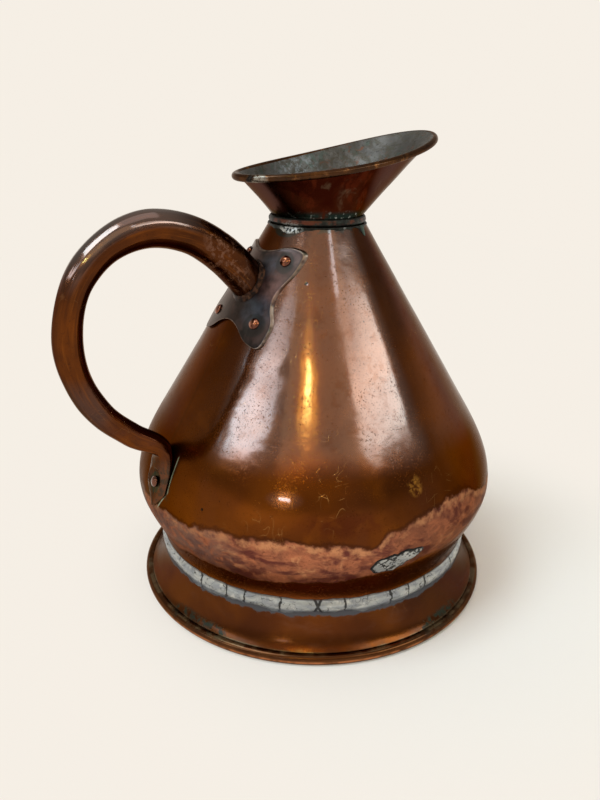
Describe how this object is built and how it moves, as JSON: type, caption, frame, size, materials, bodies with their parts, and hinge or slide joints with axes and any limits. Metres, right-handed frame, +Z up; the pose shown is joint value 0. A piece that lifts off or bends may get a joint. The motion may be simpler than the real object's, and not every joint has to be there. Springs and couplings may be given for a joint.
{
  "type": "copper jug",
  "caption": "Haystack measuring jug in sheet copper: conical body on a spreading foot, lipped mouth funnel, hollow side handle riveted on a four-lobed plate.",
  "frame": {"origin": "On the ground, in the middle of the bounding box in X and Y. The jug's own axis stands at X +30.4 mm.", "axes": "+Z up along the jug's axis, +X towards the spout's lip, handle towards -X, +Y to the left of the spout's direction."},
  "size_m": [0.3488, 0.288, 0.3539],
  "materials": {
    "aged_copper": "old polished sheet copper, amber-brown",
    "dark_copper": "dark maroon-brown sheet copper",
    "plate_patina": "dark grey-brown patina on copper",
    "bright_copper": "rubbed bright copper",
    "solder": "wiped soft solder, dull silver",
    "iron_wire": "plain iron wire, hidden in the rolled edges"
  },
  "bodies": {
    "root": {"body_shell": "aged_copper", "bottom_pan": "dark_copper", "foot_skirt": "aged_copper", "foot_wire": "iron_wire", "foot_solder": "solder", "belly_patch": "solder", "neck_band": "dark_copper", "neck_solder": "solder", "mouth_funnel": "dark_copper", "rim_wire": "iron_wire", "handle_tube": "aged_copper", "handle_plate": "plate_patina", "plate_solder": "dark_copper", "plate_rivet_1": "bright_copper", "plate_rivet_2": "bright_copper", "plate_rivet_3": "bright_copper", "plate_rivet_4": "bright_copper", "leaf_rivet": "bright_copper"}
  },
  "joints": []
}
